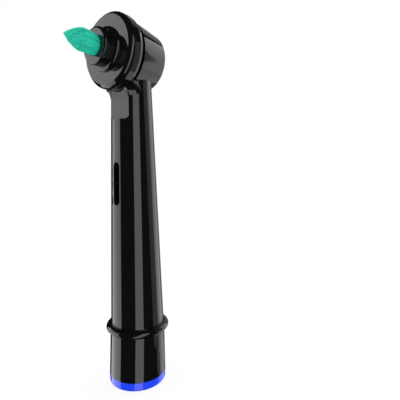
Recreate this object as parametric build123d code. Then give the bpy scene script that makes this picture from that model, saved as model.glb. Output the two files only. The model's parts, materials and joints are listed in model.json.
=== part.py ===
from build123d import *
from math import atan, cos, degrees, hypot, radians, sin, tan
import os

# Interdental head of an oscillating electric toothbrush, in millimetres.
# The origin is the centre of the foot, +Z runs up the neck and the tuft points to -Y.

# Fits
RUNNING = 0.05          # radial play of a turning pin or journal
SEAT = 0.01             # radial play of a pressed piece
END_PLAY = 0.1          # axial play of a turning piece

# Foot, blue ring and socket for the handle's nose
RING_HEIGHT = 1.95
RING_RADIUS = 6.6       # at the bottom
RING_EDGE = 0.4
RING_SKIRT = 2.4        # part of the ring inside the foot
FOOT_RADIUS = 6.65      # where ring and foot meet
FOOT_TOP_RADIUS = 6.38  # under the collar
SOCKET_RADIUS = 4.75
SOCKET_DEPTH = 12.2
LINER_WALL = 0.8        # ring skirt and sleeve
STOP_LIP = 1.0          # sleeve floor that stops the nose and carries the coupling
STOP_HOLE_RADIUS = 2.6

# Collar bead and leaning neck
COLLAR_HEIGHT = 13.1
COLLAR_RADIUS = 7.36
COLLAR_SECTION = 0.91
NECK_RADIUS = 6.26      # at the collar
NECK_TOP_RADIUS = 4.34  # at the head's axis
NECK_LEAN = 1.76        # forward shift of the neck's middle at the head's axis
NECK_WALL = 1.65
DRAIN_HEIGHT = 46.9
DRAIN_LENGTH = 9.6
DRAIN_WIDTH = 1.95

# Flat on the neck's front and flare under the turning plate, as drops below the head's axis
FLAT_DROP = 14.1
FLAT_FRONT = 5.0
FLAT_WIDTH = 6.2
FLAT_CORNER = 1.0
FLARE_DROP = 9.4
FLARE_BEND_RISE = 1.35  # first slope: rise and forward shift of its front
FLARE_BEND_SHIFT = 0.46
FLARE_TOP_RISE = 4.5    # second slope, up into the barrel
FLARE_TOP_SHIFT = 4.9
FLARE_TOP_RADIUS = 4.15
FLARE_SIDE_INSET = 0.1  # its start lies this far inside the neck's sides
FLARE_FRONT_INSET = 0.02

# Head barrel
HEAD_HEIGHT = 75.2
BARREL_FRONT = 4.2
BARREL_RADIUS = 7.4
BARREL_BACK_RADIUS = 6.42
BARREL_BACK = 2.76      # end of the straight barrel, behind the neck's foot axis
DOME = 1.4
HEAD_BORE_RADIUS = 5.7
HEAD_BORE_BACK = 1.6

# Turning plate, cup and hub of the carrier
PLATE_RADIUS = 7.95
PLATE_THICKNESS = 3.24
PLATE_CHAMFER = 0.82
PLATE_ROUND = 1.05      # between the chamfer and the rim
PLATE_BEVEL = 0.6       # length along the rim of the bevel behind
PLATE_BEVEL_DEPTH = 0.15
PLATE_GAP = 0.25        # from the neck
BARREL_GAP = 1.1        # from the barrel's front
CUP_RADIUS = 3.8
CUP_LENGTH = 3.0
CUP_EDGE = 0.45
CUP_BASE_RADIUS = 4.65
CUP_BASE_ROUND = 0.8
CUP_BASE_WALL = 0.05    # straight part under the rounding
DRUM_GAP = 0.3          # from the head's bore
BOSS_RADIUS = 2.6
BOSS_GAP = 0.3          # from the back wall

# Axle and its snap groove
AXLE_RADIUS = 0.9
AXLE_FRONT = 5.2
AXLE_RECESS = 0.2       # below the domed back
GROOVE_DEPTH = 0.2
GROOVE_WIDTH = 0.8
GROOVE_BACK = 3.4       # from the axle's front end

# Tuft and anchor
TUFT_HOLE_RADIUS = 2.15
TUFT_HOLE_DEPTH = 4.0
TUFT_BELLY_RADIUS = 2.3
TUFT_BELLY = 3.1        # lengths from the cup's rim
TUFT_LENGTH = 6.87
TUFT_BULGE = 0.25       # how far the pointed end swells past a straight cone
ANCHOR_WIDTH = 4.9
ANCHOR_HEIGHT = 1.4
ANCHOR_THICKNESS = 0.35
ANCHOR_LIFT = 0.5

# Crank drive: the rod's top stands in the hub's fork
CRANK = 3.0             # rod's top from the coupling's axis
DRIVE_ANGLE = 28.0      # coupling's swing to each side
DRIVE_DROP = 3.3        # meeting point below the head's axis
ROD_RADIUS = 0.75
ROD_TOP_DROP = 2.4
ROD_TIP_EDGE = 0.3
ROD_BEND_RADIUS = 3.0
ROD_BEND_DROP = 16.5    # where the rod starts to lean, below the head's axis
ROD_BEND_LENGTH = 5.5
FORK_SIDE_GAP = 0.25
FORK_END_GAP = 0.4
FORK_DEPTH = 4.4
FORK_WIDTH = 5.4
FORK_BACK = 1.4
FORK_FREE_ANGLE = 2.0   # extra flare of the fork past its swing

# Coupling with the D-shaped shaft socket
COUPLING_RADIUS = 4.0
COUPLING_LENGTH = 22.6
THROAT_RADIUS = 3.3
THROAT_LENGTH = 2.0
SHAFT_RADIUS = 1.65
SHAFT_FLAT = 1.35       # from the axis
SHAFT_DEPTH = 16.0
ROD_SOCKET = 5.0

# Latch spring beside the shaft's flat
SPRING_LENGTH = 11.0    # free length in its window
SPRING_WIDTH = 2.0
SPRING_THICKNESS = 0.3
SPRING_TUCK = 0.8
SPRING_REST = 0.5       # from the shaft's flat
SPRING_BUMP = 0.65
SPRING_BASE = 2.5       # window above the coupling's lower end
SPRING_PLAY = 0.05

# Places that follow from the sizes
SLEEVE_BASE = RING_HEIGHT + RING_SKIRT
SLEEVE_TOP = SOCKET_DEPTH + STOP_LIP
LINER_RADIUS = SOCKET_RADIUS + LINER_WALL
COUPLING_BASE = SLEEVE_TOP + END_PLAY
COUPLING_TOP = COUPLING_BASE + COUPLING_LENGTH
THROAT_BASE = COUPLING_TOP + END_PLAY
THROAT_TOP = THROAT_BASE + THROAT_LENGTH
NECK_RISE = HEAD_HEIGHT - COLLAR_HEIGHT
NECK_LENGTH = hypot(NECK_RISE, NECK_LEAN)
PLATE_BACK = -BARREL_FRONT - BARREL_GAP
PLATE_FRONT = PLATE_BACK - PLATE_THICKNESS
CUP_FRONT = PLATE_FRONT - CUP_LENGTH
TUFT_ROOT = CUP_FRONT + TUFT_HOLE_DEPTH
DRUM_BACK = -CRANK - ROD_RADIUS - FORK_END_GAP
BOSS_BACK = HEAD_BORE_BACK - BOSS_GAP
AXLE_BACK = BARREL_BACK + DOME - AXLE_RECESS
GROOVE_FRONT = -AXLE_FRONT + GROOVE_BACK
SPRING_FOOT = COUPLING_BASE + SPRING_BASE
SPRING_BACK = SHAFT_FLAT + SPRING_REST

HEAD_AXIS = Axis((0, 0, HEAD_HEIGHT), (0, 1, 0))
HEAD_SECTION = Plane(origin=(0, 0, HEAD_HEIGHT), x_dir=(0, 1, 0), z_dir=(1, 0, 0))
NECK_SECTION = Plane(origin=(0, 0, 0), x_dir=(0, 1, 0), z_dir=(1, 0, 0))
NECK_PLACE = Location((0, 0, COLLAR_HEIGHT), (degrees(atan(NECK_LEAN / NECK_RISE)), 0, 0))


def turned_on_neck(points):
    """Solid of revolution about Z from (radius, height) points."""
    return revolve(make_face(NECK_SECTION * Polyline(*points, close=True)), Axis.Z)


def turned_on_head(points):
    """Solid of revolution about the head's axis from (place along Y, radius) points."""
    return revolve(make_face(HEAD_SECTION * Polyline(*points, close=True)), HEAD_AXIS)


def post(radius, low, high):
    """Upright cylinder on the foot's axis between two heights."""
    return Pos(0, 0, low) * Cylinder(radius, high - low, align=(Align.CENTER, Align.CENTER, Align.MIN))


def head_rod(radius, front, back):
    """Cylinder on the head's axis between two places along Y."""
    return turned_on_head([(front, 0), (front, radius), (back, radius), (back, 0)])


def rims(solid, radius):
    """Circular edges of one radius."""
    return solid.edges().filter_by(GeomType.CIRCLE).filter_by(lambda edge: abs(edge.radius - radius) < 1e-4)


def neck_radius(along):
    """Outer radius of the neck at a distance along it from the collar."""
    return NECK_RADIUS + (NECK_TOP_RADIUS - NECK_RADIUS) * along / NECK_LENGTH


def neck_cone(start, wall):
    """Leaning cone from a distance along the neck up to the head's axis, set in by a wall."""
    cone = Cone(neck_radius(start) - wall, neck_radius(NECK_LENGTH) - wall, NECK_LENGTH - start,
                align=(Align.CENTER, Align.CENTER, Align.MIN))
    return NECK_PLACE * Pos(0, 0, start) * cone


def flare_sections():
    """Rise, forward shift of the front and radius of each section of the flare."""
    radius = neck_radius(NECK_LENGTH - FLARE_DROP) - FLARE_SIDE_INSET
    return [(0, 0, radius), (FLARE_BEND_RISE, FLARE_BEND_SHIFT, radius),
            (FLARE_TOP_RISE, FLARE_TOP_SHIFT, FLARE_TOP_RADIUS)]


def neck_flare():
    """Front of the neck that slopes forward, gently and then steeply, under the turning plate."""
    base = NECK_LENGTH - FLARE_DROP
    front = neck_radius(base) - FLARE_FRONT_INSET
    low, bend, top = (NECK_PLACE * Pos(0, radius - front - shift, base + rise) * Circle(radius)
                      for rise, shift, radius in flare_sections())
    return loft([low, bend]) + loft([bend, top])


def front_flat():
    """Window of the flat on the neck's front, which slopes forward with the flare."""
    flat_base = HEAD_HEIGHT - FLAT_DROP
    slope = [(-FLAT_FRONT - shift, HEAD_HEIGHT - FLARE_DROP + rise) for rise, shift, _ in flare_sections()]
    top_front, top = slope[-1]
    front = top_front - NECK_RADIUS
    outline = Polyline((front, flat_base), (-FLAT_FRONT, flat_base), *slope, (front, top), close=True)
    window = extrude(make_face(NECK_SECTION * outline), FLAT_WIDTH / 2, both=True)
    return fillet(window.edges().filter_by(Axis.Y).group_by(Axis.Z)[0], FLAT_CORNER)


def neck_with_flare():
    """Leaning neck with its flare and its flat, cut away round the turning plate."""
    return (neck_cone(-COLLAR_SECTION, 0) + neck_flare() - front_flat()
            - head_rod(PLATE_RADIUS + PLATE_GAP, CUP_FRONT, PLATE_BACK + PLATE_GAP)
            - head_rod(BARREL_RADIUS, CUP_FRONT, -BARREL_FRONT))


def head_barrel():
    """Barrel with its domed back."""
    dome_radius = (BARREL_BACK_RADIUS ** 2 + DOME ** 2) / (2 * DOME)
    half_turn = degrees(atan(BARREL_BACK_RADIUS / (dome_radius - DOME))) / 2
    crown = (BARREL_BACK + DOME - dome_radius * (1 - cos(radians(half_turn))),
             dome_radius * sin(radians(half_turn)))
    outline = Polyline((BARREL_BACK + DOME, 0), (-BARREL_FRONT, 0), (-BARREL_FRONT, BARREL_RADIUS),
                       (BARREL_BACK, BARREL_BACK_RADIUS))
    back = ThreePointArc((BARREL_BACK, BARREL_BACK_RADIUS), crown, (BARREL_BACK + DOME, 0))
    return revolve(make_face(HEAD_SECTION * (outline + back)), HEAD_AXIS)


def neck_shell():
    """Black moulding: foot, collar, neck and head barrel."""
    foot = turned_on_neck([(0, RING_HEIGHT), (FOOT_RADIUS, RING_HEIGHT),
                           (FOOT_TOP_RADIUS, COLLAR_HEIGHT), (0, COLLAR_HEIGHT)])
    bead = NECK_SECTION * Pos(COLLAR_RADIUS - COLLAR_SECTION, COLLAR_HEIGHT) * Circle(COLLAR_SECTION)
    collar = revolve(bead, Axis.Z)
    outside = foot + collar + neck_with_flare() + head_barrel()

    drain = Plane.XZ * Pos(0, DRAIN_HEIGHT) * Rot(0, 0, 90) * SlotOverall(DRAIN_LENGTH, DRAIN_WIDTH)
    return (outside
            - post(LINER_RADIUS + SEAT, 0, SLEEVE_TOP)
            - post(COUPLING_RADIUS + RUNNING, SLEEVE_TOP - END_PLAY, THROAT_BASE)
            - post(THROAT_RADIUS, THROAT_BASE - END_PLAY, THROAT_TOP + THROAT_LENGTH)
            - neck_cone(THROAT_TOP - COLLAR_HEIGHT, NECK_WALL)
            - head_rod(HEAD_BORE_RADIUS, PLATE_BACK, HEAD_BORE_BACK)
            - head_rod(AXLE_RADIUS + SEAT, 0, BARREL_BACK + 2 * DOME)
            - extrude(drain, COLLAR_RADIUS))


def base_ring():
    """Blue ring with a skirt that snaps into the foot."""
    ring = turned_on_neck([(SOCKET_RADIUS, 0), (RING_RADIUS, 0), (FOOT_RADIUS, RING_HEIGHT),
                           (LINER_RADIUS, RING_HEIGHT), (LINER_RADIUS, SLEEVE_BASE),
                           (SOCKET_RADIUS, SLEEVE_BASE)])
    return fillet(rims(ring, RING_RADIUS), RING_EDGE)


def socket_sleeve():
    """Liner that takes the handle's nose, with a lip above it that carries the coupling."""
    return turned_on_neck([(SOCKET_RADIUS, SLEEVE_BASE), (LINER_RADIUS, SLEEVE_BASE),
                           (LINER_RADIUS, SLEEVE_TOP), (STOP_HOLE_RADIUS, SLEEVE_TOP),
                           (STOP_HOLE_RADIUS, SOCKET_DEPTH), (SOCKET_RADIUS, SOCKET_DEPTH)])


def drive_coupling():
    """Turning journal with the D-shaped socket below, the spring's window and the rod's hole above."""
    shaft = post(SHAFT_RADIUS, COUPLING_BASE, COUPLING_BASE + SHAFT_DEPTH)
    flat = Pos(0, SHAFT_FLAT, COUPLING_BASE) * Box(
        2 * SHAFT_RADIUS, SHAFT_RADIUS, SHAFT_DEPTH, align=(Align.CENTER, Align.MIN, Align.MIN))
    width = SPRING_WIDTH + 2 * SPRING_PLAY
    window = Pos(0, 0, SPRING_FOOT) * Box(
        width, COUPLING_RADIUS, SPRING_LENGTH, align=(Align.CENTER, Align.MIN, Align.MIN))
    groove = Pos(0, SPRING_BACK - SPRING_PLAY, SPRING_FOOT - SPRING_TUCK - SPRING_PLAY) * Box(
        width, SPRING_THICKNESS + 2 * SPRING_PLAY, SPRING_LENGTH + 2 * (SPRING_TUCK + SPRING_PLAY),
        align=(Align.CENTER, Align.MIN, Align.MIN))
    return (post(COUPLING_RADIUS, COUPLING_BASE, COUPLING_TOP)
            - (shaft - flat) - window - groove
            - post(ROD_RADIUS + SEAT, COUPLING_TOP - ROD_SOCKET, COUPLING_TOP + END_PLAY))


def clip_spring():
    """Leaf with a bump that drops into the notch of the handle's shaft."""
    low = SPRING_FOOT - SPRING_TUCK
    high = SPRING_FOOT + SPRING_LENGTH + SPRING_TUCK
    middle = (low + high) / 2
    bump = SPRING_LENGTH / 4
    side = [(SPRING_BACK, low), (SPRING_BACK, middle - bump), (SPRING_BACK - SPRING_BUMP, middle),
            (SPRING_BACK, middle + bump), (SPRING_BACK, high)]
    other = [(place + SPRING_THICKNESS, height) for place, height in reversed(side)]
    leaf = make_face(NECK_SECTION * Polyline(*side, *other, close=True))
    return extrude(leaf, SPRING_WIDTH / 2, both=True)


def drive_rod():
    """Cranked rod: straight on the coupling's axis, then set forward to its top."""
    lean = HEAD_HEIGHT - ROD_BEND_DROP
    path = FilletPolyline((0, 0, COUPLING_TOP - ROD_SOCKET), (0, 0, lean),
                          (0, -CRANK, lean + ROD_BEND_LENGTH), (0, -CRANK, HEAD_HEIGHT - ROD_TOP_DROP),
                          radius=ROD_BEND_RADIUS)
    rod = sweep(Pos(0, 0, COUPLING_TOP - ROD_SOCKET) * Circle(ROD_RADIUS), path)
    tip = rod.edges().filter_by(GeomType.CIRCLE).sort_by(Axis.Z)[-1]
    return chamfer(tip, ROD_TIP_EDGE)


def hub_fork():
    """Two prongs under the hub with an hourglass gap for the rod's top."""
    block = Pos(0, DRUM_BACK, HEAD_HEIGHT) * Box(
        FORK_WIDTH, -FORK_BACK - DRUM_BACK, FORK_DEPTH, align=(Align.CENTER, Align.MIN, Align.MAX))
    swing = degrees(atan(CRANK * sin(radians(DRIVE_ANGLE)) / DRIVE_DROP))
    flare = tan(radians(swing + FORK_FREE_ANGLE))
    waist = ROD_RADIUS + FORK_SIDE_GAP
    top = ROD_TOP_DROP - FORK_END_GAP
    low = FORK_DEPTH + FORK_END_GAP
    half = [(waist + (DRIVE_DROP - top) * flare, -top), (waist, -DRIVE_DROP),
            (waist + (low - DRIVE_DROP) * flare, -low)]
    mirrored = [(-side, height) for side, height in reversed(half)]
    gap = make_face(Plane.XZ * Pos(0, HEAD_HEIGHT) * Polyline(*half, *mirrored, close=True))
    return block, extrude(gap, -DRUM_BACK, dir=(0, -1, 0))


def cup_outline():
    """Cup in front of the plate, with a rounded base."""
    cup = head_rod(CUP_RADIUS, CUP_FRONT, PLATE_FRONT)
    cup = fillet(rims(cup, CUP_RADIUS).group_by(Axis.Y)[0], CUP_EDGE)
    base = head_rod(CUP_BASE_RADIUS, PLATE_FRONT - CUP_BASE_ROUND - CUP_BASE_WALL, PLATE_FRONT)
    return cup + fillet(rims(base, CUP_BASE_RADIUS).group_by(Axis.Y)[0], CUP_BASE_ROUND)


def axle_bore():
    """Blind bore for the axle, with the lip that snaps into the axle's groove."""
    bore = head_rod(AXLE_RADIUS + RUNNING, -AXLE_FRONT - BOSS_GAP, BOSS_BACK + BOSS_GAP)
    lip = head_rod(AXLE_RADIUS + RUNNING, GROOVE_FRONT + END_PLAY, GROOVE_FRONT + GROOVE_WIDTH - END_PLAY)
    return bore - (lip - head_rod(AXLE_RADIUS - GROOVE_DEPTH + RUNNING, -AXLE_FRONT, BOSS_BACK))


def anchor_plate():
    """Flat staple across the root of the tuft."""
    return Pos(0, TUFT_ROOT - ANCHOR_LIFT, HEAD_HEIGHT) * Box(
        ANCHOR_WIDTH, ANCHOR_HEIGHT, ANCHOR_THICKNESS, align=(Align.CENTER, Align.MAX, Align.CENTER))


def turning_plate():
    """Plate with a chamfer that rounds into the rim in front, and a bevel behind."""
    plate = turned_on_head([(PLATE_FRONT, 0), (PLATE_FRONT, PLATE_RADIUS - PLATE_CHAMFER),
                            (PLATE_FRONT + PLATE_CHAMFER, PLATE_RADIUS),
                            (PLATE_BACK - PLATE_BEVEL, PLATE_RADIUS),
                            (PLATE_BACK, PLATE_RADIUS - PLATE_BEVEL_DEPTH), (PLATE_BACK, 0)])
    return fillet(rims(plate, PLATE_RADIUS).group_by(Axis.Y)[0], PLATE_ROUND)


def tip_carrier():
    """Turning plate with the cup in front and the hub, boss and fork behind."""
    drum = head_rod(HEAD_BORE_RADIUS - DRUM_GAP, PLATE_BACK, DRUM_BACK)
    boss = head_rod(BOSS_RADIUS, DRUM_BACK, BOSS_BACK)
    block, gap = hub_fork()
    return (turning_plate() + cup_outline() + drum + (block - gap) + (boss - gap)
            - axle_bore()
            - head_rod(TUFT_HOLE_RADIUS, CUP_FRONT, TUFT_ROOT)
            - anchor_plate())


def axle_pin():
    """Pin pressed into the back wall, with a groove for the carrier's lip."""
    pin = head_rod(AXLE_RADIUS, -AXLE_FRONT, AXLE_BACK)
    groove = head_rod(AXLE_RADIUS, GROOVE_FRONT, GROOVE_FRONT + GROOVE_WIDTH)
    return pin - (groove - head_rod(AXLE_RADIUS - GROOVE_DEPTH, -AXLE_FRONT, AXLE_BACK))


def bristle_tuft():
    """Bundle of bristles: round root, slight belly and a swelling pointed end."""
    root = TUFT_HOLE_RADIUS - RUNNING
    belly = CUP_FRONT - TUFT_BELLY
    tip = CUP_FRONT - TUFT_LENGTH
    chord = hypot(tip - belly, TUFT_BELLY_RADIUS)
    pull = 2 * TUFT_BULGE / chord
    swell = ((belly + tip) / 2 - pull * TUFT_BELLY_RADIUS, TUFT_BELLY_RADIUS / 2 + pull * (belly - tip))
    outline = Polyline((tip, 0), (TUFT_ROOT, 0), (TUFT_ROOT, root), (CUP_FRONT, root),
                       (belly, TUFT_BELLY_RADIUS))
    point = Bezier((belly, TUFT_BELLY_RADIUS), swell, (tip, 0))
    return revolve(make_face(HEAD_SECTION * (outline + point)), HEAD_AXIS) - anchor_plate()


PIECES = {
    "neck_shell": neck_shell,
    "base_ring": base_ring,
    "socket_sleeve": socket_sleeve,
    "drive_coupling": drive_coupling,
    "clip_spring": clip_spring,
    "drive_rod": drive_rod,
    "tip_carrier": tip_carrier,
    "axle_pin": axle_pin,
    "bristle_tuft": bristle_tuft,
    "tuft_anchor": anchor_plate,
}

os.makedirs("parts", exist_ok=True)
for name, make in PIECES.items():
    export_step(make(), f"parts/{name}.step")
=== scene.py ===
# %% [markdown]
# # An electric toothbrush head
# The object is a replacement head with one pointed tuft, for cleaning between the teeth. Its hard pieces
# come from a imported CAD model, already in place and at their real size, in metres. This lesson gives each
# of them a finish, makes the bristles strand by strand, and sets up the light and the camera.
# The size of the imported model is measured here, and the floor is laid at its foot.

# %% Load the imported model
import json
import math
import random

import bpy
from mathutils import Matrix, Vector


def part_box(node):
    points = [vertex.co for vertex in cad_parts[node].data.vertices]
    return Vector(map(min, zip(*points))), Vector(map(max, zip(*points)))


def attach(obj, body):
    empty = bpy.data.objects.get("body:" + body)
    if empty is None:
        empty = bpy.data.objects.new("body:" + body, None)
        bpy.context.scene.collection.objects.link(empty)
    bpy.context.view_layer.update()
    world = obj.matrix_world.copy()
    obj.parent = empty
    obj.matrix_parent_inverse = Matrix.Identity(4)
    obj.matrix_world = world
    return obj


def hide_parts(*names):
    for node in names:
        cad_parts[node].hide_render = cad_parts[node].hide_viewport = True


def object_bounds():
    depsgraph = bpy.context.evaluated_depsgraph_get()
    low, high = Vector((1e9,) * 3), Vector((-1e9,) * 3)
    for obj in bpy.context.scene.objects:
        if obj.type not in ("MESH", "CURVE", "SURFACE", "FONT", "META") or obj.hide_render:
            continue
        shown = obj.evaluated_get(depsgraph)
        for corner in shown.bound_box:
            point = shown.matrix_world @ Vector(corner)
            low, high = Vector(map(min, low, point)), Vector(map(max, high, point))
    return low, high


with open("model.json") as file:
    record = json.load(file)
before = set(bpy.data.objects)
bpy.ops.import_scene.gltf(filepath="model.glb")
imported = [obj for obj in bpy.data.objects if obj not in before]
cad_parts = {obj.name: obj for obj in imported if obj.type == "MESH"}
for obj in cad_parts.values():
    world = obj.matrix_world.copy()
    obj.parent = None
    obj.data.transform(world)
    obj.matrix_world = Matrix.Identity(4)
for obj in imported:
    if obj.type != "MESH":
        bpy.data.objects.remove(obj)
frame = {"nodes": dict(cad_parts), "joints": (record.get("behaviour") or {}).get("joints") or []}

MM = 0.001
cad_low, cad_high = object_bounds()
print("packed model", [round(v / MM, 2) for v in cad_high - cad_low], "mm")

# %% [markdown]
# ## The camera
# A photo can be matched by eye, by turning the camera until edges line up, or worked out from a few
# points whose real places are known. The second way was used: the numbers below put the rims, the collar
# and the foot where the photo has them. The lens is wide and close, as the strong perspective shows.

# %% Place the camera
CAMERA_TURN = math.radians(37.53)
CAMERA_RISE = math.radians(3.71)
CAMERA_ROLL = math.radians(0.40)
CAMERA_REACH = 80.07 * MM
AIM_HEIGHT = 43.14 * MM
AIM_SIDE = 14.86 * MM
PICTURE_PIXELS = 400
FOCAL_PIXELS = 338.0
SENSOR_MM = 36.0
NEAREST_SEEN = 1.0 * MM
UP = Vector((0.0, 0.0, 1.0))


def compass(turn):
    """A level direction: straight in front of the head at 0, and towards +X as the turn grows."""
    return Vector((math.sin(turn), -math.cos(turn), 0.0))


across = compass(CAMERA_TURN + math.pi / 2)
back = compass(CAMERA_TURN) * math.cos(CAMERA_RISE) + UP * math.sin(CAMERA_RISE)
unrolled = Matrix((across, back.cross(across), back)).transposed()
aim = UP * AIM_HEIGHT + across * AIM_SIDE
bpy.ops.object.camera_add(
    location=aim + back * CAMERA_REACH,
    rotation=(unrolled @ Matrix.Rotation(CAMERA_ROLL, 3, "Z")).to_euler(),
)
camera = bpy.context.object
camera.data.sensor_width = SENSOR_MM
camera.data.lens = FOCAL_PIXELS / PICTURE_PIXELS * SENSOR_MM
camera.data.clip_start = NEAREST_SEEN
bpy.context.scene.camera = camera
print("camera at", [round(v / MM, 1) for v in camera.location], "mm, lens", round(camera.data.lens, 2))

# %% [markdown]
# ## Node maths
# A finish is a small graph of nodes. Joining nodes by hand in code is long, so a wire stands for one
# output of a node. Adding or multiplying wires makes the Math nodes, and one method makes any other node.

# %% Make a wire that does arithmetic
class Wire:
    """One output socket. Arithmetic on wires adds Math nodes to their tree."""

    def __init__(self, tree, socket=None):
        self.tree = tree
        self.socket = socket

    def node(self, kind, settings=None, sockets=None, out=0):
        """A new node of any kind: first its settings, then the values or links of its sockets."""
        made = self.tree.nodes.new(kind)
        for name, value in (settings or {}).items():
            setattr(made, name, value)
        for name, value in (sockets or {}).items():
            if isinstance(value, Wire):
                self.tree.links.new(value.socket, made.inputs[name])
            else:
                made.inputs[name].default_value = value
        return Wire(self.tree, made.outputs[out] if made.outputs else None)

    def maths(self, operation, first, second):
        return self.node("ShaderNodeMath", {"operation": operation}, {0: first, 1: second})

    def __add__(self, other):
        return self.maths("ADD", self, other)

    __radd__ = __add__

    def __sub__(self, other):
        return self.maths("SUBTRACT", self, other)

    def __rsub__(self, other):
        return self.maths("SUBTRACT", other, self)

    def __mul__(self, other):
        return self.maths("MULTIPLY", self, other)

    __rmul__ = __mul__


def new_finish(name):
    """An empty material, and a wire to build its nodes from."""
    material = bpy.data.materials.new(name)
    material.use_nodes = True
    material.node_tree.nodes.clear()
    return material, Wire(material.node_tree)


print("wires add, subtract and multiply")

# %% [markdown]
# ## Steps that the finishes share
# Every moulded or drawn surface is a little uneven. Noise on the object's own coordinates gives that
# unevenness in real millimetres, stretched where a surface was drawn or filed. A colour or a direction
# can't go through a Math node, so two of them meet in a Mix node, whose sockets are found by number.

# %% Define grain and mixing
MIX_SOCKETS = {"VECTOR": (4, 5, 1), "RGBA": (6, 7, 2)}


def grain(start, size, detail=2.0, stretch=(1.0, 1.0, 1.0)):
    """Noise from 0 to 1 with features of about that size, longer along the axes that stretch names."""
    place = start.node("ShaderNodeTexCoord", out="Object")
    scaled = start.node(
        "ShaderNodeMapping",
        sockets={"Vector": place, "Scale": tuple(1.0 / (size * long) for long in stretch)},
    )
    return start.node("ShaderNodeTexNoise", sockets={"Vector": scaled, "Scale": 1.0, "Detail": detail})


def between(mask, low, high):
    """A number that is low where the mask is 0 and high where it is 1."""
    return (high - low) * mask + low


def mixed(start, kind, mask, low, high):
    """The same for two vectors or two colours."""
    first, second, result = MIX_SOCKETS[kind]
    return start.node("ShaderNodeMix", {"data_type": kind}, {0: mask, first: low, second: high}, out=result)


def blend_tones(start, mask, low, high):
    """The same for two opaque colours, given as red, green and blue."""
    return mixed(start, "RGBA", mask, (*low, 1.0), (*high, 1.0))


print("a Mix node takes", " or ".join(MIX_SOCKETS))


# %% Define relief and the surface
def relief(start, height, depth, facing=None):
    """A bump of that depth, in metres, on the mesh's own facing or on another one."""
    sockets = {"Height": height, "Distance": depth, "Strength": 1.0}
    if facing:
        sockets["Normal"] = facing
    return start.node("ShaderNodeBump", sockets=sockets)


def surface(start, **sockets):
    """The shader itself, on the material's output. An underscore stands for a space in a socket's name."""
    named = {name.replace("_", " "): value for name, value in sockets.items()}
    shader = start.node("ShaderNodeBsdfPrincipled", sockets=named)
    start.node("ShaderNodeOutputMaterial", sockets={"Surface": shader})


def wear(node, material):
    """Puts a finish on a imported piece."""
    frame["nodes"][node].material_slots[0].material = material
    print(node, "has", material.name)


print("pieces to finish:", ", ".join(frame["nodes"]))

# %% [markdown]
# ## The neck's true roundness
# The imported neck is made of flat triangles, long and thin beside its slot and its front flat. Smooth
# shading goes astray on them, and a polished surface shows that as kinks in its long reflections. The
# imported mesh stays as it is. But the neck is a plain leaning cone, so the way it faces is known at every
# point: outward from its middle line, tipped up by its taper. The finish uses that wherever the surface
# lies on the cone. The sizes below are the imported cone's own, from the collar up to the head's axis.

# %% Measure the neck's cone
NECK_START = 13.1 * MM
NECK_RADIUS = 6.26 * MM
NECK_TOP_RADIUS = 4.34 * MM
NECK_LEAN = 1.76 * MM
CONE_SLACK = 0.05 * MM

head_axis = next(joint for joint in frame["joints"] if joint["name"] == "carrier_turn")["pos_m"]
neck_rise = head_axis[2] - NECK_START
neck_taper = (NECK_RADIUS - NECK_TOP_RADIUS) / math.hypot(neck_rise, NECK_LEAN)
neck_turn = (math.atan(NECK_LEAN / neck_rise), 0.0, 0.0)
print("neck leans by", round(math.degrees(neck_turn[0]), 2), "degrees")
print("neck tapers by", round(math.degrees(math.atan(neck_taper)), 2), "degrees")


# %% Work out which way the neck faces
def neck_facing(start):
    """The way the cone faces where the surface lies on it, and the mesh's own facing elsewhere."""
    upright = start.node(
        "ShaderNodeMapping",
        {"vector_type": "TEXTURE"},
        {
            "Vector": start.node("ShaderNodeTexCoord", out="Object"),
            "Location": (0.0, 0.0, NECK_START),
            "Rotation": neck_turn,
        },
    )
    along = start.node("ShaderNodeSeparateXYZ", sockets={"Vector": upright}, out="Z")
    spoke = start.node("ShaderNodeVectorMath", {"operation": "MULTIPLY"}, {0: upright, 1: (1.0, 1.0, 0.0)})
    radius = start.node("ShaderNodeVectorMath", {"operation": "LENGTH"}, {0: spoke}, out="Value")
    on_cone = start.node(
        "ShaderNodeMath",
        {"operation": "COMPARE"},
        {0: radius, 1: NECK_RADIUS - neck_taper * along, 2: CONE_SLACK},
    )
    tip = start.node("ShaderNodeCombineXYZ", sockets={"Z": neck_taper * radius})
    outward = start.node("ShaderNodeVectorMath", {"operation": "ADD"}, {0: spoke, 1: tip})
    leaning = start.node(
        "ShaderNodeMapping", {"vector_type": "NORMAL"}, {"Vector": outward, "Rotation": neck_turn}
    )
    cone = start.node(
        "ShaderNodeVectorTransform",
        {"vector_type": "NORMAL", "convert_from": "OBJECT", "convert_to": "WORLD"},
        {"Vector": leaning},
    )
    mesh = start.node("ShaderNodeNewGeometry", out="Normal")
    return mixed(start, "VECTOR", on_cone, mesh, cone)


print("the cone counts to within", CONE_SLACK / MM, "mm")

# %% [markdown]
# ## Gloss black plastic
# The neck and the plate are injection moulded in black and polished, so they show almost nothing but
# reflections. The base colour is near black. What makes it plastic and not glass is the slight haze that
# the mould leaves, in patches of a few millimetres, and a faint ripple that bends long reflections.

# %% Finish the neck and the plate
BLACK = (0.0026, 0.0026, 0.0028)
BLACK_WORN = (0.0038, 0.0038, 0.0040)
POLISHED = 0.03
RIPPLE_SIZE = 1.6 * MM
RIPPLE_STRETCH = (1.0, 1.0, 2.5)


def polished_black(name, patch_size, haziest, ripple_depth, facing_of=None):
    material, start = new_finish(name)
    patches = grain(start, patch_size, detail=4.0)
    ripple = grain(start, RIPPLE_SIZE, stretch=RIPPLE_STRETCH)
    facing = facing_of(start) if facing_of else None
    surface(
        start,
        Base_Color=blend_tones(start, patches, BLACK, BLACK_WORN),
        Roughness=between(patches, POLISHED, haziest),
        Normal=relief(start, ripple, ripple_depth, facing),
    )
    return material


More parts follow.
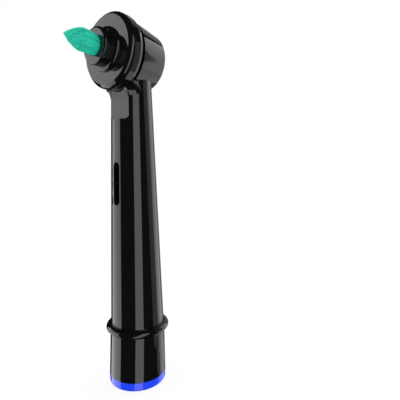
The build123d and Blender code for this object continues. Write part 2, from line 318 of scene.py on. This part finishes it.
neck_black = polished_black(
    "gloss black neck", patch_size=5.0 * MM, haziest=0.09, ripple_depth=0.0008 * MM, facing_of=neck_facing
)
plate_black = polished_black(
    "gloss black plate", patch_size=3.0 * MM, haziest=0.08, ripple_depth=0.0004 * MM
)
wear("neck_shell", neck_black)
wear("tip_carrier", plate_black)

# %% [markdown]
# ## The blue ring
# The ring at the foot tells the heads of one family apart. It is dyed through, so its colour is deep and
# nearly even. It is moulded about as smooth as the neck, with smaller ripples.

# %% Finish the ring
BLUE_DEEP = (0.012, 0.046, 0.73)
BLUE_LIGHT = (0.017, 0.058, 0.82)
RING_ROUGHNESS = (0.06, 0.11)
RING_PATCH = 2.0 * MM
RING_RIPPLE_SIZE = 0.8 * MM
RING_RIPPLE_DEPTH = 0.0006 * MM


def dyed_blue():
    material, start = new_finish("dyed blue")
    patches = grain(start, RING_PATCH, detail=3.0)
    surface(
        start,
        Base_Color=blend_tones(start, patches, BLUE_DEEP, BLUE_LIGHT),
        Roughness=between(patches, *RING_ROUGHNESS),
        Normal=relief(start, grain(start, RING_RIPPLE_SIZE), RING_RIPPLE_DEPTH),
    )
    return material


wear("base_ring", dyed_blue())

# %% [markdown]
# ## Pieces inside the neck
# They show only from below, through the socket. The liner has the fine spark-eroded grain of an inner
# moulding. The coupling is white acetal, smoother and slightly waxy, with flow marks along its length.

# %% Finish the liner
LINER_DARK = (0.20, 0.21, 0.23)
LINER_LIGHT = (0.30, 0.31, 0.33)
LINER_ROUGHNESS = (0.35, 0.60)
SPARK_SIZE = 0.18 * MM
SPARK_DEPTH = 0.010 * MM


def eroded_grey():
    material, start = new_finish("eroded grey")
    sparks = grain(start, SPARK_SIZE, detail=5.0)
    surface(
        start,
        Base_Color=blend_tones(start, sparks, LINER_DARK, LINER_LIGHT),
        Roughness=between(sparks, *LINER_ROUGHNESS),
        Normal=relief(start, sparks, SPARK_DEPTH),
    )
    return material


wear("socket_sleeve", eroded_grey())

# %% Finish the coupling
ACETAL = (0.72, 0.72, 0.69)
ACETAL_LIGHT = (0.82, 0.82, 0.79)
ACETAL_ROUGHNESS = (0.28, 0.43)
FLOW_SIZE = 0.7 * MM
FLOW_STRETCH = (1.0, 1.0, 6.0)
FLOW_DEPTH = 0.004 * MM


def waxy_acetal():
    material, start = new_finish("waxy acetal")
    flow = grain(start, FLOW_SIZE, detail=3.0, stretch=FLOW_STRETCH)
    surface(
        start,
        Base_Color=blend_tones(start, flow, ACETAL, ACETAL_LIGHT),
        Roughness=between(flow, *ACETAL_ROUGHNESS),
        Normal=relief(start, flow, FLOW_DEPTH),
    )
    return material


wear("drive_coupling", waxy_acetal())

# %% [markdown]
# ## Drawn steel and cut brass
# Wire is pulled through a die, which leaves fine lines along it, and strip is rolled, which does the same.
# So the grain is stretched along each piece: up the rod and the spring, and along Y on the axle pin. The
# anchor is nipped off a brass strip that lies along X.

# %% Finish the metal pieces
STEEL_DARK = (0.50, 0.50, 0.51)
STEEL_LIGHT = (0.62, 0.62, 0.63)
BRASS_DARK = (0.62, 0.43, 0.18)
BRASS_LIGHT = (0.78, 0.58, 0.28)
METAL_ROUGHNESS = (0.16, 0.38)
DRAW_LINE_SIZE = 0.06 * MM
DRAW_LINE_DEPTH = 0.003 * MM


def drawn_metal(name, dark, light, along):
    material, start = new_finish(name)
    lines = grain(start, DRAW_LINE_SIZE, detail=3.0, stretch=along)
    surface(
        start,
        Base_Color=blend_tones(start, lines, dark, light),
        Metallic=1.0,
        Roughness=between(lines, *METAL_ROUGHNESS),
        Normal=relief(start, lines, DRAW_LINE_DEPTH),
    )
    return material


upright_steel = drawn_metal("drawn steel", STEEL_DARK, STEEL_LIGHT, along=(1.0, 1.0, 40.0))
pin_steel = drawn_metal("drawn steel pin", STEEL_DARK, STEEL_LIGHT, along=(1.0, 40.0, 1.0))
strip_brass = drawn_metal("cut brass", BRASS_DARK, BRASS_LIGHT, along=(20.0, 1.0, 1.0))
wear("drive_rod", upright_steel)
wear("clip_spring", upright_steel)
wear("axle_pin", pin_steel)
wear("tuft_anchor", strip_brass)

# %% [markdown]
# ## Green nylon
# A bristle is a drawn nylon filament. Each one takes the dye a little differently, and its side carries
# faint draw lines. The strands get a number at each point when they are made: their dye, plus painted shade
# that is darker towards the cup and paler towards the tips. The finish reads it, and the draw lines add a
# share of their own.

# %% Finish the bristles
GREEN_DEEP = (0.004, 0.400, 0.290)
GREEN_LIGHT = (0.027, 0.830, 0.600)
NYLON_ROUGHNESS = (0.32, 0.52)
LINE_SHARE = 0.25
NYLON_LINE_SIZE = 0.10 * MM
NYLON_LINE_STRETCH = (1.0, 12.0, 1.0)
NYLON_LINE_DEPTH = 0.004 * MM


def dyed_nylon():
    material, start = new_finish("dyed nylon")
    # Each strand's own dye, with painted shade that darkens it towards the cup and lightens it towards the
    # tip
    dye_and_root_shade = start.node("ShaderNodeAttribute", {"attribute_name": "dye_and_root_shade"}, out="Fac")
    lines = grain(start, NYLON_LINE_SIZE, stretch=NYLON_LINE_STRETCH)
    green_share = (1.0 - LINE_SHARE) * dye_and_root_shade + LINE_SHARE * lines
    surface(
        start,
        Base_Color=blend_tones(start, green_share, GREEN_DEEP, GREEN_LIGHT),
        Roughness=between(lines, *NYLON_ROUGHNESS),
        Normal=relief(start, lines, NYLON_LINE_DEPTH),
    )
    return material


nylon = dyed_nylon()
print("made", nylon.name)

# %% [markdown]
# ## One bristle
# Blender has hair curves, but they would leave no mesh to export. A strand is a thin tube here: a circle
# of six points, drawn out ring by ring and narrowed at its end. It is made once, one metre long so that
# a place on it is a share of its length, lying along -Y, and then copied.

# %% Draw out one strand
STRAND_RADIUS = 0.09 * MM
STRAND_SIDES = 6
# Each ring's share of the length, and of the full width
STRAND_RINGS = ((0.30, 1.0), (0.50, 1.0), (0.68, 1.0), (0.84, 1.0), (0.95, 0.85), (1.0, 0.35))

bpy.ops.object.select_all(action="DESELECT")
bpy.ops.mesh.primitive_circle_add(
    vertices=STRAND_SIDES, radius=STRAND_RADIUS, fill_type="NGON", rotation=(math.pi / 2, 0.0, 0.0)
)
strand = bpy.context.object
bpy.ops.object.transform_apply(rotation=True)
bpy.ops.object.mode_set(mode="EDIT")
bpy.ops.mesh.select_all(action="SELECT")
done, width = 0.0, 1.0
for share, ring_width in STRAND_RINGS:
    bpy.ops.mesh.extrude_region_move(TRANSFORM_OT_translate={"value": (0.0, done - share, 0.0)})
    narrow = ring_width / width
    bpy.ops.transform.resize(value=(narrow, 1.0, narrow), center_override=(0.0, -share, 0.0))
    done, width = share, ring_width
bpy.ops.mesh.select_all(action="SELECT")
bpy.ops.mesh.normals_make_consistent(inside=False)
bpy.ops.object.mode_set(mode="OBJECT")
bpy.ops.object.shade_smooth()
strand.data.materials.append(nylon)
print("one strand has", len(strand.data.polygons), "faces")

# %% [markdown]
# ## The tuft
# The strands stand close together in the cup's hole, swell out a little past its mouth and are trimmed to
# a point, so the middle strands are the longest. A sunflower spiral spreads their roots evenly over the
# hole. The bundle leans up slightly, as in the photo, and grows paler towards its tips.

# %% Shape the tuft's outline
TRIM_START = 3.1 * MM
TRIM_BULGE = 0.51

cup_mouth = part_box("tip_carrier")[0].y
tip_reach = cup_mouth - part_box("bristle_tuft")[0].y


def ease(share):
    """From 0 to 1 with no sudden start or end."""
    share = min(max(share, 0.0), 1.0)
    return share * share * (3.0 - 2.0 * share)


def trimmed_end(share):
    """How far a strand reaches past the cup, where the share is 0 in the middle and 1 at the rim.

    The cut is where the bulged outline, steep * cut + bulge * cut ** 2, comes to 1 - share."""
    steep = 1.0 - TRIM_BULGE
    cut = (math.sqrt(steep ** 2 + 4.0 * TRIM_BULGE * (1.0 - share)) - steep) / (2.0 * TRIM_BULGE)
    return TRIM_START + (tip_reach - TRIM_START) * cut


print("tuft reaches", round(tip_reach / MM, 2), "mm past the cup")

# %% Plant the strands
STRANDS = 460
ROOT_SPREAD = 2.04 * MM
ROOT_DEPTH = 3.4 * MM
SWELL = 0.17 * MM
SWELL_REACH = 3.1 * MM
TRIM_SLIP = 0.16 * MM
LEAN_UP = 0.22 * MM
LEAN_REACH = 1.5 * MM
STRAY = 0.05 * MM
# The share of the colour that is painted shade, dark at the cup and pale at the tips
PAINTED_ROOT_SHADE = 0.5
GOLDEN_ANGLE = math.pi * (3.0 - math.sqrt(5.0))
SEED = 11

chance = random.Random(SEED)


def plant(number):
    """One copy of the strand, bent along its own path out of the cup."""
    copy = strand.copy()
    copy.data = strand.data.copy()
    bpy.context.collection.objects.link(copy)
    share = math.sqrt((number + 0.5) / STRANDS)
    turn = number * GOLDEN_ANGLE
    stray_x, stray_z = (chance.uniform(-STRAY, STRAY) for _ in range(2))
    end = trimmed_end(share) - chance.uniform(0.0, TRIM_SLIP)
    # A random share of the dye, and below it painted shade: darker at the root in the cup, paler towards
    # the tip
    green_share = (1.0 - PAINTED_ROOT_SHADE) * chance.random()
    dyes_and_root_shades = []
    for point in copy.data.vertices:
        along = -ROOT_DEPTH - point.co.y * (ROOT_DEPTH + end)
        out = share * (ROOT_SPREAD + SWELL * ease(along / SWELL_REACH))
        drift = max(along, 0.0) / tip_reach
        lean = LEAN_UP * ease(along / LEAN_REACH)
        point.co.x += head_axis[0] + out * math.cos(turn) + stray_x * drift
        point.co.z += head_axis[2] + out * math.sin(turn) + stray_z * drift + lean
        point.co.y = cup_mouth - along
        dyes_and_root_shades.append(green_share + PAINTED_ROOT_SHADE * drift)
    copy.data.attributes.new("dye_and_root_shade", "FLOAT", "POINT").data.foreach_set("value", dyes_and_root_shades)
    return copy


planted = [plant(number) for number in range(STRANDS)]
bpy.data.objects.remove(strand)
print("planted", len(planted), "strands")

# %% Join the strands into one tuft
bpy.ops.object.select_all(action="DESELECT")
for copy in planted:
    copy.select_set(True)
bpy.context.view_layer.objects.active = planted[0]
bpy.ops.object.join()
bristles = bpy.context.object
bristles.name = "bristles"
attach(bristles, "carrier")
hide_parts("bristle_tuft")
print("the tuft has", len(bristles.data.polygons), "faces")

# %% [markdown]
# ## The lights
# Polished black shows its surroundings, so the lights are chosen by where they appear in it: a broad
# softbox to the left, a leaning strip in front, and a bright softbox to the right, in an upper and a lower
# part. Four dim ones beside and above that last one soften the object's right edge. Each is a rectangle
# two metres away. Its level is the brightness of its face, where 1 is white.

# %% Hang the softboxes
LIGHT_REACH = 2.0
WATTS_PER_LEVEL = math.pi


def softbox(name, left, right, low, high, level, lean=0.0):
    """A lamp between two turns from the camera, in degrees, and two heights, leaning by an angle."""
    half = math.radians(right - left) / 2
    bearing = CAMERA_TURN + math.radians(left) + half
    width = 2.0 * LIGHT_REACH * math.tan(half)
    outward = compass(bearing)
    side = compass(bearing + math.pi / 2)
    tilt = math.radians(lean)
    axis_x = side * math.cos(tilt) - UP * math.sin(tilt)
    axis_y = UP * math.cos(tilt) + side * math.sin(tilt)
    middle = outward * LIGHT_REACH + axis_y * (low + high) / 2
    turned = Matrix((axis_x, axis_y, outward)).transposed().to_4x4()
    bpy.ops.object.light_add(type="AREA")
    lamp = bpy.context.object
    lamp.name = name
    lamp.matrix_world = Matrix.Translation(middle) @ turned
    lamp.data.shape = "RECTANGLE"
    lamp.data.size = width
    lamp.data.size_y = high - low
    lamp.data.energy = level * width * (high - low) * WATTS_PER_LEVEL
    lamp.visible_camera = False
    print(name, "level", level, "power", round(lamp.data.energy, 1))


softbox("left softbox", left=-123.7, right=-60.7, low=-2.40, high=1.05, level=2.05, lean=9.0)
softbox("front strip", left=11.2, right=42.8, low=-3.80, high=1.70, level=2.0, lean=21.0)
softbox("right softbox", left=110.0, right=145.6, low=-0.75, high=1.75, level=1.65)
softbox("right low box", left=110.0, right=145.6, low=-3.20, high=-0.75, level=1.35)
softbox("right dim box", left=81.0, right=110.0, low=-0.93, high=0.98, level=0.45)
softbox("right dim foot", left=97.0, right=110.0, low=-1.75, high=-0.93, level=0.45)
softbox("rear dim box", left=145.6, right=185.0, low=-1.70, high=2.10, level=0.38)
softbox("rear top box", left=131.0, right=185.0, low=2.10, high=3.30, level=0.30)

# %% [markdown]
# ## The floor, the tent and the sky
# The photo is on pure white. The sky is plain white. The floor is pale, with a glow that only viewing rays
# see, so it is white in the picture and still keeps a soft shadow. Shiny black would turn grey in an
# all-white room, so a dark tent hangs round everything, and only reflections see it. They look through the
# floor, down to the softboxes' feet.

# %% Mix the floor's paint and the tent's cloth
WHITE = (1.0, 1.0, 1.0, 1.0)
FLOOR_WHITE = (0.97, 0.97, 0.97, 1.0)
FLOOR_GLOW = 0.85
TENT_LEVEL = 0.01
VIEWING_RAYS = ("Is Camera Ray", "Is Glossy Ray", "Is Transmission Ray")


def seen_directly(start):
    """1 for what the camera sees, also in a mirror or through glass, and 0 for light on its way."""
    camera_ray, glossy_ray, clear_ray = (start.node("ShaderNodeLightPath", out=ray) for ray in VIEWING_RAYS)
    return start.node("ShaderNodeClamp", sockets={"Value": camera_ray + glossy_ray + clear_ray})


def pale_floor():
    material, start = new_finish("pale floor")
    glow = start.node("ShaderNodeEmission", sockets={"Color": WHITE, "Strength": 1.0})
    paint = start.node("ShaderNodeBsdfDiffuse", sockets={"Color": FLOOR_WHITE})
    share = FLOOR_GLOW * seen_directly(start)
    both = start.node("ShaderNodeMixShader", sockets={0: share, 1: paint, 2: glow})
    start.node("ShaderNodeOutputMaterial", sockets={"Surface": both})
    return material


def dark_cloth():
    material, start = new_finish("dark cloth")
    shade = start.node("ShaderNodeEmission", sockets={"Color": WHITE, "Strength": TENT_LEVEL})
    start.node("ShaderNodeOutputMaterial", sockets={"Surface": shade})
    return material


floor_paint = pale_floor()
tent_cloth = dark_cloth()
print("made", floor_paint.name, "and", tent_cloth.name)

# %% Lay the floor and hang the tent
FLOOR_SIZE = 12.0
TENT_RADIUS = 8.0
TENT_SEGMENTS = 32
RAYS_PAST_TENT = ("camera", "diffuse", "transmission", "volume_scatter", "shadow")

bpy.ops.object.select_all(action="DESELECT")
bpy.ops.mesh.primitive_plane_add(size=FLOOR_SIZE, location=(0.0, 0.0, cad_low.z))
floor = bpy.context.object
floor.name = "floor"
floor.data.materials.append(floor_paint)
floor.visible_glossy = False
bpy.ops.mesh.primitive_uv_sphere_add(
    segments=TENT_SEGMENTS, ring_count=TENT_SEGMENTS // 2, radius=TENT_RADIUS
)
tent = bpy.context.object
tent.name = "tent"
tent.data.materials.append(tent_cloth)
for ray in RAYS_PAST_TENT:
    setattr(tent, "visible_" + ray, False)
print("floor", FLOOR_SIZE, "m wide, tent", 2 * TENT_RADIUS, "m across")

# %% Light the sky
SKY_LEVEL = 1.0

world = bpy.data.worlds.new("sky")
world.use_nodes = True
world.node_tree.nodes.clear()
start = Wire(world.node_tree)
sky = start.node("ShaderNodeBackground", sockets={"Color": WHITE, "Strength": SKY_LEVEL})
start.node("ShaderNodeOutputWorld", sockets={"Surface": sky})
bpy.context.scene.world = world
bpy.context.scene.view_settings.view_transform = "Standard"
print("sky fills the shadows at", SKY_LEVEL)
